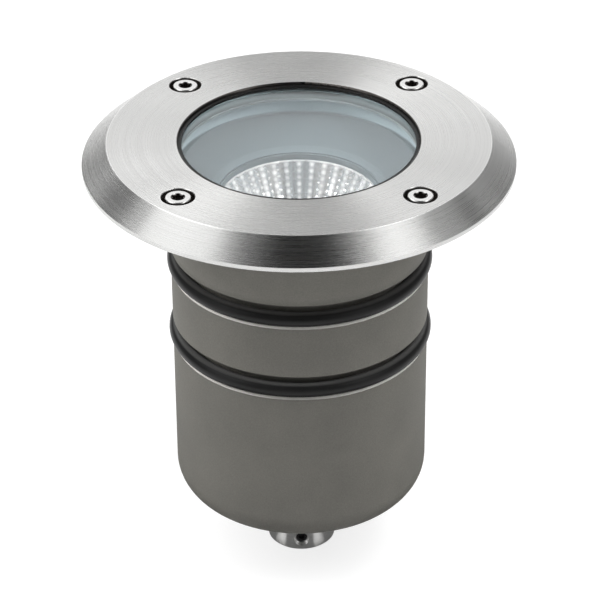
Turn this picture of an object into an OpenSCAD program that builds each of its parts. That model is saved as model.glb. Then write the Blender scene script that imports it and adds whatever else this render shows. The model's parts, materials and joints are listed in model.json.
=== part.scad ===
// Ground-recessed well light with a stainless cover ring, thick glass and a faceted reflector.
// Millimetres, +Z up. The origin is on the axis, in the plane where the cover ring rests on the paving.

/* [Cover ring] */
// Height of the ring from its resting face to its flat top
bezel_h = 7.2; // [6.6:0.1:9]
// Height of the upright edge below the sloping face
lip_h = 1.4; // [0.8:0.1:2.4]
// Width of the sloping face, seen from above
slope_w = 6.9; // [5:0.1:8]
// Width of the resting face under the ring
seat_w = 9.4; // [8.5:0.1:11]
// How far the ring covers the edge of the glass
glass_cover_w = 3.75; // [3:0.05:4.2]
// Radius of the rounded edge of the opening
opening_edge_r = 0.5; // [0.2:0.1:0.7]
// Bevel on the sharp edges of the ring
bezel_bevel = 0.25; // [0.1:0.05:0.4]
// Steel left under each screw head
web_t = 1.5; // [1.2:0.1:1.6]

/* [Cover screws] */
// Distance of the screw centres outside the glass pocket
screw_w = 7.2; // [6.8:0.1:7.6]
// Number of cover screws
screw_count = 4; // [3:1:8]
// Thread diameter of the cover screws
screw_d = 4; // [3:0.5:4.5]
// Diameter of the cheese heads
screw_head_d = 7; // [6.4:0.1:7.4]
// Height of the heads, and depth of the pockets that they sit in
screw_head_h = 3.1; // [2.6:0.1:3.4]
// Radius of the rounded edge of the heads
screw_edge_r = 0.35; // [0.2:0.05:0.6]
// Gap round each head in its pocket
pocket_gap = 1.05; // [0.6:0.05:1.2]
// Bevel on the edge of the pockets
pocket_bevel = 0.2; // [0.1:0.05:0.3]
// Size across the lobes of the six-lobe socket
socket_d = 3.95; // [3.3:0.05:4.4]
// Depth of the six-lobe socket
socket_h = 1.8; // [1:0.1:2.2]
// Bevel on the mouth of the socket
socket_bevel = 0.25; // [0.1:0.05:0.4]

/* [Glass and its seals] */
// Thickness of the glass
glass_t = 8; // [6:0.5:10]
// Bevel on the edges of the glass
glass_bevel = 0.5; // [0.2:0.1:1]
// How far the glass lies below the flat top of the ring
glass_drop = 1.6; // [1.5:0.05:2]
// Thickness of the seals over and under the glass
seal_t = 0.8; // [0.6:0.05:0.8]
// Thickness of the lower seal round the edge of the glass
seal_wall = 1.2; // [0.8:0.1:1.6]
// How far the black seal reaches in over the glass
seal_top_w = 4.6; // [4.2:0.1:5]
// How far the grey seal reaches in under the glass
seal_low_w = 4.1; // [2.4:0.1:4.6]

/* [Housing] */
// How far the glass pocket reaches outside the wall of the housing
pocket_step_w = 2.1; // [1.8:0.1:3]
// Width of the flange outside the glass pocket
flange_w = 11.8; // [11:0.1:14]
// Radius of the corner between the wall and the bottom
corner_r = 9; // [6:0.5:14]
// Radius of the shallow dome of the bottom
dome_r = 90; // [70:5:160]
// Thickness of the flange that the cover screws enter
flange_t = 3.2; // [2.6:0.1:3.5]
// Wall round the glass pocket
neck_wall = 3.6; // [2.6:0.1:4]
// Depth of the wide neck below the paving
neck_h = 7.4; // [6:0.2:8.4]
// Height of the cone between the neck and the wall
neck_cone_h = 5.6; // [4:0.2:8]
// Wall left behind the sealing ring grooves
groove_wall = 3.6; // [2.6:0.1:4.2]
// Thickness of the bottom inside the corner, at the middle of the floor
floor_t = 8; // [6:0.5:10]
// Width of the ledge that carries the heat sink
sink_ledge_w = 2; // [1.4:0.1:2.4]

/* [Sealing rings] */
// Thickness of the two sealing rings
ring_t = 4.2; // [3.6:0.1:5.2]
// How far the sealing rings stand out of the wall
ring_proud = 1.1; // [0.6:0.1:1.6]
// Depth of the upper groove's top edge below the paving
groove_1_z = 25.6; // [24:0.2:28]
// Depth of the lower groove's top edge below the paving
groove_2_z = 48.5; // [40:0.5:60]
// Height of each groove
groove_h = 6.2; // [6:0.1:8]
// Bevel on the edges of the grooves
groove_bevel = 0.7; // [0.2:0.1:0.8]

/* [Anti-glare dish] */
// Width of the ledge between the glass pocket and the dish
dish_ledge_w = 2.15; // [1.8:0.05:2.4]
// Height of the upright wall of the dish
dish_wall_h = 4.8; // [3:0.1:5.2]
// Depth of the sloping part of the dish
dish_cone_h = 6.5; // [5:0.1:7.5]
// Width of the sloping part of the dish, seen from above
dish_slope_w = 12.2; // [11:0.1:14]
// Thickness of the dish
dish_t = 1.2; // [0.8:0.1:1.5]
// Size of the small facet where the wall meets the slope
crease_w = 0.5; // [0.2:0.1:0.8]

/* [Reflector] */
// Gap between the ring round the reflector and the reflector's rim
mirror_gap = 0.2; // [0.1:0.05:0.4]
// Diameter of the hole at the bottom of the reflector
mirror_foot_d = 11.4; // [10.6:0.1:13]
// Height of the reflector
mirror_h = 19.8; // [17:0.2:23]
// Number of facets round the reflector
facet_columns = 36; // [24:2:60]
// Number of rows of facets
facet_rows = 12; // [6:1:16]
// Thickness of the reflector, measured level
mirror_wall = 1.1; // [0.8:0.1:1.4]
// Thickness of the flange at the rim of the reflector
mirror_flange_t = 1; // [0.6:0.1:1.4]
// Width of the flange at the rim of the reflector
mirror_flange_w = 1.5; // [1.2:0.1:2]
// Gap between that ring and the hole of the dish, seen as a dark line
throat_gap = 0.2; // [0.1:0.05:0.4]
// Height of the band of that ring that shows above the reflector
mirror_ring_band_h = 1.8; // [1.4:0.1:2.6]
// Width of that ring outside its thin lip
mirror_ring_w = 3.2; // [2.8:0.1:4]
// Thickness of the thin lip inside the hole of the dish
mirror_lip_t = 0.35; // [0.3:0.05:0.55]

/* [Light source] */
// Side of the square light source board
board_w = 13.4; // [12.4:0.1:14]
// Thickness of the board
board_t = 1.4; // [1:0.1:1.6]
// Diameter of the glowing area
emitter_d = 9.8; // [8:0.2:10.4]
// Thickness of the glowing area
emitter_t = 0.5; // [0.3:0.1:0.8]
// How far the heat-conducting pad lies inside the edge of the board
pad_inset = 0.2; // [0:0.1:1]
// Thickness of the heat-conducting pad
pad_t = 0.2; // [0.1:0.05:0.4]
// Width of the holder that clamps the board, outside its screw centres
holder_rim_w = 3.5; // [3.2:0.1:5]
// Height of the holder
holder_h = 3.1; // [3:0.1:4]
// Diameter of the window in the holder
holder_window_d = 12; // [11:0.1:13]
// Distance of the two holder screws from the edge of the board
holder_screw_w = 3.3; // [3.1:0.1:4]

/* [Small screws] */
// Thread diameter of the screws inside
small_screw_d = 3; // [2.5:0.1:3]
// Head diameter of the screws inside
small_head_d = 5.5; // [5:0.1:5.6]
// Head height of the screws inside
small_head_h = 2; // [1.6:0.1:2.1]
// Size across the flats of their hexagon sockets
small_hex = 2.5; // [2:0.1:2.6]
// Depth of their hexagon sockets
small_hex_h = 1.2; // [0.8:0.1:1.4]
// Thread length of the holder screws
holder_screw_l = 6; // [4:0.5:8]
// Thread length of the heat sink screws
sink_screw_l = 14; // [11:0.5:16]
// Thread length of the bracket screws
bracket_screw_l = 6; // [4:0.5:8]

/* [Heat sink] */
// Thickness of the heat sink plate
sink_t = 8; // [7:0.5:10]
// Number of bosses that the heat sink is screwed to
boss_count = 3; // [2:1:3]
// Diameter of those bosses
boss_d = 7.6; // [7:0.2:8]
// Height of those bosses
boss_h = 10; // [9:0.5:14]
// How far the boss centres lie inside the wall
boss_inset = 2.8; // [2.4:0.1:3]

/* [Driver] */
// Length of the driver case
driver_x = 32; // [28:0.5:33]
// Width of the driver case
driver_y = 25; // [20:0.5:26]
// Height of the driver case
driver_z = 25; // [20:0.5:26]
// Radius of the upright edges of the driver case
driver_edge_r = 2.5; // [1:0.5:4]
// Depth of the step round the lid of the driver case
driver_step = 0.6; // [0.3:0.1:1]
// Height of the lid of the driver case
driver_lid_h = 3; // [2:0.5:5]
// Thickness of the steel bracket
bracket_t = 1.2; // [0.8:0.1:1.6]
// Width of the bracket's strap
bracket_w = 16; // [12:0.5:17]
// Length of the two feet of the bracket
bracket_foot_l = 8; // [7:0.1:8.4]
// Width of the feet of the bracket
bracket_foot_w = 9; // [8:0.5:10]
// Room between the feet of the bracket and the wall of the housing
bracket_room = 2.2; // [1.8:0.1:5]

/* [Terminal block] */
// Number of terminals
terminal_count = 3; // [2:1:3]
// Distance between terminals
terminal_pitch = 7.5; // [6.5:0.5:8]
// Depth of the terminal block, front to back
terminal_y = 15; // [12:0.5:16]
// Height of the terminal block
terminal_z = 12; // [10:0.5:13]
// Diameter of the wire holes
terminal_hole_d = 3.2; // [2.6:0.2:3.6]
// Diameter of the clamping screws
terminal_screw_d = 3; // [2.4:0.2:3.4]
// Length of the clamping screws
terminal_screw_l = 4; // [3:0.5:5]
// How far the clamping screws lie inside the face of the block
terminal_screw_inset = 0.6; // [0.2:0.1:1]
// Room for the wires between the terminals and the bottom of the housing
wire_room_h = 15; // [12:0.5:40]

/* [Leads] */
// Outside diameter of the leads inside
lead_d = 1.8; // [1.4:0.1:2]
// Bend radius of the leads
lead_bend_r = 3; // [2.5:0.1:3.4]
// Distance between the two leads of a pair
lead_gap_x = 8; // [6:0.5:9]
// How far the leads run straight before they bend
lead_stub = 3.4; // [3:0.1:4]
// How far the upper leads lie below the lid of the driver
lead_drop = 5; // [4.6:0.2:8]
// How far the lower leads lie above the bottom of the driver
lead_rise = 4; // [3.4:0.2:8]

/* [Cable gland] */
// Thread diameter of the gland's shank
gland_shank_d = 16; // [14:0.5:18]
// Width of the collar's shoulder round the shank
gland_shoulder_w = 1.8; // [1.2:0.1:3]
// Length of the gland's collar below the housing
gland_collar_l = 16.2; // [15:0.1:24]
// Wall of the gland round the shank's hole
shank_wall = 3.6; // [2.4:0.1:4]
// How far the pocket of the rubber bush lies inside the shank's outline
bush_wall = 1.6; // [1.2:0.1:2]
// Diameter of the cable's hole in the rubber bush
cable_d = 7.5; // [6:0.1:8.5]
// Length of the rubber bush
bush_l = 12; // [10:0.1:12.6]
// How far the bush lies inside the mouth of the gland
bush_inset = 0.7; // [0.3:0.1:1.2]
// Thickness of the steel washer over the bush
bush_washer_t = 0.8; // [0.5:0.1:1.2]
// Thickness of the seal between the gland and the housing
gland_seal_t = 0.8; // [0.5:0.1:1.2]
// How far the shank stands out of its nut
shank_tip = 0.6; // [0.4:0.1:2]
// Width of the nut across its flats, outside the shank on each side
nut_wall = 3; // [2.4:0.1:4]
// Height of the nut
nut_h = 5; // [3.5:0.1:5.4]
// Width of the washer under the nut, outside the shank
nut_washer_w = 4.5; // [3.6:0.1:6]
// Thickness of the washer under the nut
nut_washer_t = 1.2; // [0.8:0.1:1.6]
// Distance of the side screw's hole above the gland's lower end
set_z = 3.9; // [3.6:0.1:6]
// Diameter of the side screw's hole
set_hole_d = 3.4; // [2.8:0.1:3.6]
// Width of the bevel round that hole
set_bevel_w = 0.8; // [0.4:0.1:1]
// How far the side screw lies inside its hole
set_inset = 1.4; // [0.8:0.1:2]
// Bevel on the lower edge of the gland
gland_bevel = 0.4; // [0.2:0.1:0.8]

/* [Hidden] */
$fn = 96;

// Clearance between pieces that fit into each other
fit_gap = 0.1;
// Overrun of every cut
over = 1;
// Gap between the flange and the cover ring's wall
flange_gap = 0.4;
// Clearance round a screw in a plain hole
hole_gap = 0.25;
// Clearance round a thread in its tapped hole
thread_gap = 0.05;
// Bevel on small machined edges
small_bevel = 0.3;
// Directions of the first cover screw and of the first boss, from +X
first_screw_angle = 45;
first_boss_angle = -90;
// Turn of the six-lobe sockets, which points one lobe towards +Y
socket_angle = 30;
// Radius of each lobe and of the core of a six-lobe socket, as shares of its size
lobe_share = 0.125;
core_share = 0.375;
// Width and depth of a clamping screw's slot, as a share of its diameter
slot_share = 0.2;
// Size and depth of the side screw's socket, as shares of its hole and its length
set_socket_share = 0.625;
set_depth_share = 0.5;

// Bracket, and the room that it takes inside the housing
small_screw_r = small_screw_d / 2;
bracket_in_x = driver_x / 2 + fit_gap;
bracket_out_x = bracket_in_x + bracket_t;
bracket_screw_x = bracket_out_x + bracket_foot_l / 2;

// Radii of the housing, from the inside outwards
low_bore_r = bracket_out_x + bracket_foot_l + bracket_room;
bore_r = low_bore_r + sink_ledge_w;
groove_r = bore_r + groove_wall;
body_r = groove_r + fit_gap + ring_t - ring_proud;
glass_pocket_r = body_r + pocket_step_w;
neck_r = glass_pocket_r + neck_wall;
flange_r = glass_pocket_r + flange_w;
screw_mid_r = glass_pocket_r + screw_w;
ring_r = ring_t / 2;
boss_r = boss_d / 2;
boss_mid_r = low_bore_r - boss_inset;

// Radii and levels of the cover ring
recess_r = flange_r + flange_gap;
bezel_r = recess_r + seat_w;
face_r = bezel_r - slope_w;
pocket_r = screw_head_d / 2 + pocket_gap;
pocket_z = bezel_h - screw_head_h;
flange_top_z = pocket_z - web_t;
flange_low_z = flange_top_z - flange_t;
screw_l = web_t + flange_t - fit_gap;

// Glass and its seals
seal_r = glass_pocket_r - fit_gap;
glass_r = seal_r - seal_wall - fit_gap;
opening_r = glass_r - glass_cover_w;
glass_top_z = bezel_h - glass_drop;
glass_low_z = glass_top_z - glass_t;
seal_top_z = glass_top_z + seal_t;
seal_low_z = glass_low_z - seal_t;

// Dish
dish_seat_r = glass_pocket_r - dish_ledge_w;
dish_out_r = dish_seat_r - fit_gap;
dish_r = dish_out_r - dish_t;
throat_r = dish_r - dish_slope_w;
crease_z = seal_low_z - dish_wall_h;
throat_z = crease_z - dish_cone_h;
dish_slope = atan(dish_cone_h / dish_slope_w);
dish_drop = dish_t / cos(dish_slope);
dish_ledge_z = crease_z - dish_drop;
ring_seat_z = throat_z - dish_t;

// Ring round the reflector, and the reflector
mirror_ring_lip_r = throat_r - throat_gap;
mirror_ring_r = mirror_ring_lip_r - mirror_lip_t;
mirror_ring_out_r = mirror_ring_lip_r + mirror_ring_w;
mirror_r = mirror_ring_r - mirror_gap;
mirror_flange_r = mirror_r + mirror_flange_w;
mirror_foot_r = mirror_foot_d / 2;
mirror_lip_z = throat_z - small_bevel;
mirror_rim_z = mirror_lip_z - mirror_ring_band_h;
mirror_ring_low_z = mirror_rim_z - mirror_flange_t;
mirror_foot_z = mirror_rim_z - mirror_h;

// Light source and heat sink
pad_w = board_w - 2 * pad_inset;
holder_screw_x = board_w / 2 + holder_screw_w;
holder_r = holder_screw_x + holder_rim_w;
holder_top_z = mirror_foot_z;
sink_top_z = holder_top_z - holder_h;
sink_low_z = sink_top_z - sink_t;
board_z = sink_top_z + pad_t;
emitter_z = board_z + board_t;

// Levels of the driver, bracket and terminals
driver_top_z = sink_low_z - bracket_t - fit_gap;
driver_low_z = driver_top_z - driver_z;
bracket_low_z = driver_low_z - bracket_t;
terminal_x = terminal_count * terminal_pitch;
terminal_low_z = bracket_low_z - terminal_z;
terminal_mid_z = bracket_low_z - terminal_z / 2;

// Bottom of the housing
floor_z = terminal_low_z - wire_room_h;
body_low_z = floor_z - floor_t;
corner_in = body_r - corner_r;
dome_rise = sqrt((dome_r - corner_r) * (dome_r - corner_r) - corner_in * corner_in);
dome_mid_z = body_low_z + dome_r;
corner_z = dome_mid_z - dome_rise;

// Leads
lead_r = lead_d / 2;
lead_face_y = driver_y / 2;
lead_run_y = lead_face_y + lead_stub + lead_bend_r;
out_lead_low_z = driver_top_z - lead_drop;
out_lead_top_z = sink_top_z + holder_h / 2;
in_lead_top_z = driver_low_z + lead_rise;
in_lead_low_z = terminal_mid_z;

// Gland
shank_r = gland_shank_d / 2;
gland_r = shank_r + gland_shoulder_w;
gland_hole_r = shank_r - shank_wall;
bush_pocket_r = shank_r - bush_wall;
spot_r = gland_r + small_bevel;
spot_z = dome_mid_z - sqrt(dome_r * dome_r - spot_r * spot_r) + small_bevel;
collar_top_z = spot_z - gland_seal_t;
gland_low_z = collar_top_z - gland_collar_l;
nut_r = (shank_r + nut_wall) / cos(30);
nut_low_z = floor_z + nut_washer_t;
shank_top_z = nut_low_z + nut_h + shank_tip;
bush_low_z = gland_low_z + bush_inset;
bush_top_z = bush_low_z + bush_l;
bush_pocket_top_z = bush_top_z + bush_washer_t;
set_hole_z = gland_low_z + set_z;
set_hole_r = set_hole_d / 2;
set_l = gland_r - bush_pocket_r - set_inset;

// Colours
steel = [0.82, 0.82, 0.81];
bright_steel = [0.9, 0.9, 0.9];
paint = [0.43, 0.425, 0.40];
rubber_black = [0.09, 0.09, 0.09];
silicone_grey = [0.45, 0.48, 0.48];
dish_grey = [0.56, 0.59, 0.6];
mirror_silver = [0.93, 0.93, 0.94];
plain_aluminium = [0.75, 0.76, 0.77];
white_plastic = [0.92, 0.92, 0.9];
glass_blue = [0.75, 0.88, 0.9, 0.4];
phosphor_yellow = [0.95, 0.83, 0.35];
pad_grey = [0.3, 0.3, 0.32];
driver_grey = [0.2, 0.21, 0.23];
lead_red = [0.75, 0.12, 0.1];
lead_brown = [0.45, 0.3, 0.18];
oxide_black = [0.12, 0.12, 0.12];

// Copies its children evenly round the axis, first at the given angle
module around(count, start = 0) {
    for (i = [0 : count - 1])
        rotate([0, 0, start + i * 360 / count])
            children();
}

// Bored cylinder between two levels
module tube(r_out, r_in, low, high) {
    difference() {
        translate([0, 0, low])
            cylinder(r = r_out, h = high - low);
        translate([0, 0, low - over])
            cylinder(r = r_in, h = high - low + 2 * over);
    }
}

// Half of a flat shape, to the right of the axis, turned into a round solid
module turned() {
    rotate_extrude()
        children();
}

// Rectangle given by its two corners
module square_from(x0, y0, x1, y1) {
    translate([x0, y0])
        square([x1 - x0, y1 - y0]);
}

// Copies its children to each cover screw without turning them
module at_screws() {
    for (i = [0 : screw_count - 1]) {
        angle = first_screw_angle + i * 360 / screw_count;
        translate([screw_mid_r * cos(angle), screw_mid_r * sin(angle), 0])
            children();
    }
}

// Cover ring with its slope, glass pocket, resting face and four screw pockets
module bezel_ring() {
    edge_z = bezel_h - opening_edge_r;
    bevel_cut_h = pocket_bevel + over;
    color(steel)
        difference() {
            turned()
                union() {
                    polygon([
                        [opening_r, seal_top_z],
                        [glass_pocket_r, seal_top_z],
                        [glass_pocket_r, flange_top_z],
                        [recess_r, flange_top_z],
                        [recess_r, 0],
                        [bezel_r - bezel_bevel, 0],
                        [bezel_r, bezel_bevel],
                        [bezel_r, lip_h],
                        [face_r, bezel_h],
                        [opening_r + opening_edge_r, bezel_h],
                        [opening_r + opening_edge_r, edge_z],
                        [opening_r, edge_z]
                    ]);
                    intersection() {
                        translate([opening_r + opening_edge_r, edge_z])
                            circle(r = opening_edge_r);
                        translate([opening_r, edge_z])
                            square(opening_edge_r);
                    }
                }
            at_screws() {
                translate([0, 0, pocket_z])
                    cylinder(r = pocket_r, h = screw_head_h + over);
                translate([0, 0, bezel_h - pocket_bevel])
                    cylinder(r1 = pocket_r, r2 = pocket_r + bevel_cut_h, h = bevel_cut_h);
                cylinder(r = screw_d / 2 + hole_gap, h = bezel_h);
            }
        }
}

// Six-lobe socket, open upwards
module lobed_socket(size, depth) {
    lobe_r = size * lobe_share;
    linear_extrude(depth)
        union() {
            circle(r = size * core_share);
            for (i = [0 : 5])
                rotate(i * 60)
                    translate([size / 2 - lobe_r, 0])
                        circle(r = lobe_r);
        }
}

// One cheese-head screw, standing on the underside of its head
module cover_screw() {
    head_r = screw_head_d / 2;
    mouth_r = socket_d / 2;
    difference() {
        union() {
            translate([0, 0, -screw_l])
                cylinder(r = screw_d / 2, h = screw_l + screw_edge_r);
            turned()
                union() {
                    square_from(0, 0, head_r, screw_head_h - screw_edge_r);
                    square_from(0, 0, head_r - screw_edge_r, screw_head_h);
                    translate([head_r - screw_edge_r, screw_head_h - screw_edge_r])
                        circle(r = screw_edge_r);
                }
        }
        translate([0, 0, screw_head_h - socket_h])
            rotate(socket_angle)
                lobed_socket(socket_d, socket_h + over);
        translate([0, 0, screw_head_h - socket_bevel])
            cylinder(r1 = mouth_r - socket_bevel, r2 = mouth_r + over, h = socket_bevel + over);
    }
}

// The four cover screws in their pockets
module bezel_screws() {
    color(bright_steel)
        at_screws()
            translate([0, 0, pocket_z])
                cover_screw();
}

// Toughened glass disc with bevelled edges
module glass_lens() {
    color(glass_blue)
        turned()
            polygon([
                [0, glass_low_z],
                [glass_r - glass_bevel, glass_low_z],
                [glass_r, glass_low_z + glass_bevel],
                [glass_r, glass_top_z - glass_bevel],
                [glass_r - glass_bevel, glass_top_z],
                [0, glass_top_z]
            ]);
}

// Flat black seal between the cover ring and the glass
module glass_seal() {
    color(rubber_black)
        tube(seal_r, glass_r - seal_top_w, glass_top_z, seal_top_z);
}

// Grey silicone seat under the glass and round its edge
module glass_seat() {
    seat_in_r = glass_r - seal_low_w;
    color(silicone_grey)
        turned()
            polygon([
                [seat_in_r, seal_low_z],
                [seal_r, seal_low_z],
                [seal_r, glass_top_z],
                [glass_r + fit_gap, glass_top_z],
                [glass_r + fit_gap, glass_low_z],
                [seat_in_r, glass_low_z]
            ]);
}

// Outline of the rounded bottom: corner arc that runs smoothly into the dome
module bottom_outline() {
    reach = dome_r + over;
    tangent = atan2(corner_in, dome_rise);
    union() {
        square_from(0, corner_z, corner_in, flange_low_z);
        translate([corner_in, corner_z])
            circle(r = corner_r);
        intersection() {
            translate([0, dome_mid_z])
                circle(r = dome_r);
            polygon([
                [0, corner_z],
                [corner_in, corner_z],
                [reach * sin(tangent), dome_mid_z - reach * cos(tangent)],
                [0, dome_mid_z - reach]
            ]);
        }
    }
}

// Section of one sealing ring groove, bevelled at both edges
module groove_section(top_z) {
    low_z = top_z - groove_h;
    out_r = body_r + over;
    polygon([
        [groove_r, top_z],
        [body_r - groove_bevel, top_z],
        [body_r, top_z + groove_bevel],
        [out_r, top_z + groove_bevel],
        [out_r, low_z - groove_bevel],
        [body_r, low_z - groove_bevel],
        [body_r - groove_bevel, low_z],
        [groove_r, low_z]
    ]);
}

// Moulded housing: flange, neck, grooved wall, domed bottom, ledges and bosses inside
module housing_body() {
    chamber_top_z = dish_ledge_z - (dish_r - bore_r);
    color(paint)
        difference() {
            union() {
                turned()
                    difference() {
                        union() {
                            bottom_outline();
                            square_from(0, corner_z, body_r, flange_low_z);
                            polygon([
                                [0, -neck_h - neck_cone_h],
                                [body_r, -neck_h - neck_cone_h],
                                [neck_r, -neck_h],
                                [neck_r, flange_low_z],
                                [flange_r - small_bevel, flange_low_z],
                                [flange_r, flange_low_z + small_bevel],
                                [flange_r, flange_top_z - small_bevel],
                                [flange_r - small_bevel, flange_top_z],
                                [0, flange_top_z]
                            ]);
                        }
                        groove_section(-groove_1_z);
                        groove_section(-groove_2_z);
                        polygon([
                            [0, flange_top_z + over],
                            [glass_pocket_r, flange_top_z + over],
                            [glass_pocket_r, seal_low_z],
                            [dish_seat_r, seal_low_z],
                            [dish_seat_r, dish_ledge_z],
                            [dish_r, dish_ledge_z],
                            [bore_r, chamber_top_z],
                            [bore_r, sink_low_z],
                            [low_bore_r, sink_low_z],
                            [low_bore_r, floor_z],
                            [0, floor_z]
                        ]);
                    }
                around(boss_count, first_boss_angle)
                    translate([boss_mid_r, 0, sink_low_z - boss_h])
                        cylinder(r = boss_r, h = boss_h);
            }
            at_screws()
                translate([0, 0, flange_low_z - over])
                    cylinder(r = screw_d / 2 + thread_gap, h = flange_t + 2 * over);
            around(boss_count, first_boss_angle)
                translate([boss_mid_r, 0, sink_low_z - boss_h + small_screw_r])
                    cylinder(r = small_screw_r + thread_gap, h = boss_h);
            translate([0, 0, body_low_z - over])
                cylinder(r = shank_r + fit_gap, h = floor_t + 2 * over);
            translate([0, 0, body_low_z - over])
                cylinder(r = spot_r, h = spot_z - body_low_z + over);
        }
}

// One rubber sealing ring, resting on the lower wall of its groove
module seal_ring(groove_top_z) {
    mid_z = groove_top_z - groove_h + ring_r + fit_gap;
    color(rubber_black)
        turned()
            translate([groove_r + fit_gap + ring_r, mid_z])
                circle(r = ring_r);
}

module upper_seal_ring() {
    seal_ring(-groove_1_z);
}

module lower_seal_ring() {
    seal_ring(-groove_2_z);
}

// Grey dish with an upright wall, clamped under the grey seal
module baffle_dish() {
    seat_r = mirror_ring_out_r + fit_gap;
    color(dish_grey)
        turned()
            polygon([
                [dish_out_r, seal_low_z],
                [dish_r, seal_low_z],
                [dish_r, crease_z + crease_w],
                [dish_r - crease_w * cos(dish_slope), crease_z - crease_w * sin(dish_slope)],
                [throat_r, throat_z],
                [throat_r, ring_seat_z],
                [seat_r, ring_seat_z],
                [seat_r, dish_ledge_z - (dish_r - seat_r) * tan(dish_slope)],
                [dish_r, dish_ledge_z],
                [dish_out_r, dish_ledge_z]
            ]);
}

// Ring that covers the reflector's rim, with a thin lip inside the hole of the dish
module reflector_ring() {
    color(dish_grey)
        turned()
            polygon([
                [mirror_ring_r, mirror_rim_z],
                [mirror_ring_r, mirror_lip_z],
                [mirror_ring_lip_r, mirror_lip_z],
                [mirror_ring_lip_r, ring_seat_z],
                [mirror_ring_out_r, ring_seat_z],
                [mirror_ring_out_r, mirror_ring_low_z],
                [mirror_flange_r + fit_gap, mirror_ring_low_z],
                [mirror_flange_r + fit_gap, mirror_rim_z]
            ]);
}

// Inner radius of the reflector at a share of its height, a parabola
function mirror_radius(share) =
    sqrt(mirror_foot_r * mirror_foot_r
        + (mirror_r * mirror_r - mirror_foot_r * mirror_foot_r) * share);

// Closed section of the reflector: facets upwards, flange, back of the shell downwards
function mirror_section() = concat(
    [for (i = [0 : facet_rows])
        [mirror_radius(i / facet_rows), mirror_foot_z + mirror_h * i / facet_rows]],
    [
        [mirror_flange_r, mirror_rim_z],
        [mirror_flange_r, mirror_ring_low_z],
        [mirror_r + mirror_wall, mirror_ring_low_z]
    ],
    [for (i = [facet_rows - 1 : -1 : 0])
        [mirror_radius(i / facet_rows) + mirror_wall, mirror_foot_z + mirror_h * i / facet_rows]]
);

// Reflector with flat facets in columns and rows
module reflector() {
    section = mirror_section();
    points_round = len(section);
    column_angle = 360 / facet_columns;
    first_angle = 90 + column_angle / 2;
    corners = [
        for (c = [0 : facet_columns - 1])
            let (angle = first_angle + c * column_angle)
                for (p = section)
                    [p[0] * cos(angle), p[0] * sin(angle), p[1]]
    ];
    faces = [
        for (c = [0 : facet_columns - 1])
            for (p = [0 : points_round - 1])
                let (
                    d = (c + 1) % facet_columns,
                    q = (p + 1) % points_round
                )
                [
                    c * points_round + p,
                    c * points_round + q,
                    d * points_round + q,
                    d * points_round + p
                ]
    ];
    color(mirror_silver)
        polyhedron(points = corners, faces = faces);
}

// White holder that clamps the board, with sunk screw seats and a bevelled window
module led_holder() {
    window_r = holder_window_d / 2;
    board_gap_w = board_w + 2 * fit_gap;
    board_gap_h = pad_t + board_t + fit_gap;
    color(white_plastic)
        difference() {
            translate([0, 0, sink_top_z])
                cylinder(r = holder_r, h = holder_h);
            translate([-board_gap_w / 2, -board_gap_w / 2, sink_top_z - over])
                cube([board_gap_w, board_gap_w, board_gap_h + over]);
            translate([0, 0, sink_top_z])
                cylinder(r = window_r, h = holder_h + over);
            around(2)
                translate([holder_screw_x, 0, sink_top_z]) {
                    translate([0, 0, holder_h - small_head_h - fit_gap])
                        cylinder(r = small_head_d / 2 + fit_gap, h = small_head_h + over);
                    translate([0, 0, -over])
                        cylinder(r = small_screw_r + hole_gap, h = holder_h + over);
                }
            for (side = [-1, 1])
                translate([side * lead_gap_x / 2, holder_r - lead_stub, out_lead_top_z])
                    rotate([-90, 0, 0])
                        cylinder(r = lead_r + fit_gap, h = lead_stub + over);
        }
}

// Socket-head screw standing on the underside of its head, pointing down
module small_screw(length) {
    difference() {
        union() {
            cylinder(r = small_head_d / 2, h = small_head_h);
            translate([0, 0, -length])
                cylinder(r = small_screw_r, h = length + small_head_h / 2);
        }
        translate([0, 0, small_head_h - small_hex_h])
            cylinder(r = small_hex / 2 / cos(30), h = small_hex_h + over, $fn = 6);
    }
}

module holder_screws() {
    color(bright_steel)
        around(2)
            translate([holder_screw_x, 0, holder_top_z - small_head_h - fit_gap])
                small_screw(holder_screw_l);
}

// Square board of the light source
module led_board() {
    color(white_plastic)
        translate([-board_w / 2, -board_w / 2, board_z])
            cube([board_w, board_w, board_t]);
}

// Round phosphor area on the board
module led_emitter() {
    color(phosphor_yellow)
        translate([0, 0, emitter_z])
            cylinder(r = emitter_d / 2, h = emitter_t);
}

// Pad between the board and the heat sink
module thermal_pad() {
    color(pad_grey)
        translate([-pad_w / 2, -pad_w / 2, sink_top_z])
            cube([pad_w, pad_w, pad_t]);
}

// Plate that carries the light source and leads its heat into the housing
module heat_sink() {
    low_hole_z = sink_low_z - over;
    color(plain_aluminium)
        difference() {
            translate([0, 0, sink_low_z])
                cylinder(r = bore_r - fit_gap, h = sink_t);
            around(boss_count, first_boss_angle)
                translate([boss_mid_r, 0, low_hole_z])
                    cylinder(r = small_screw_r + hole_gap, h = sink_t + 2 * over);
            around(2)
                translate([holder_screw_x, 0, sink_top_z - holder_screw_l])
                    cylinder(r = small_screw_r + thread_gap, h = holder_screw_l + over);
            around(2)
                translate([bracket_screw_x, 0, low_hole_z])
                    cylinder(r = small_screw_r + thread_gap, h = bracket_screw_l + over);
            for (side = [-1, 1])
                translate([side * lead_gap_x / 2, lead_run_y, low_hole_z])
                    cylinder(r = lead_r + hole_gap, h = sink_t + 2 * over);
        }
}

module heat_sink_screws() {
    color(bright_steel)
        around(boss_count, first_boss_angle)
            translate([boss_mid_r, 0, sink_top_z])
                small_screw(sink_screw_l);
}

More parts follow.
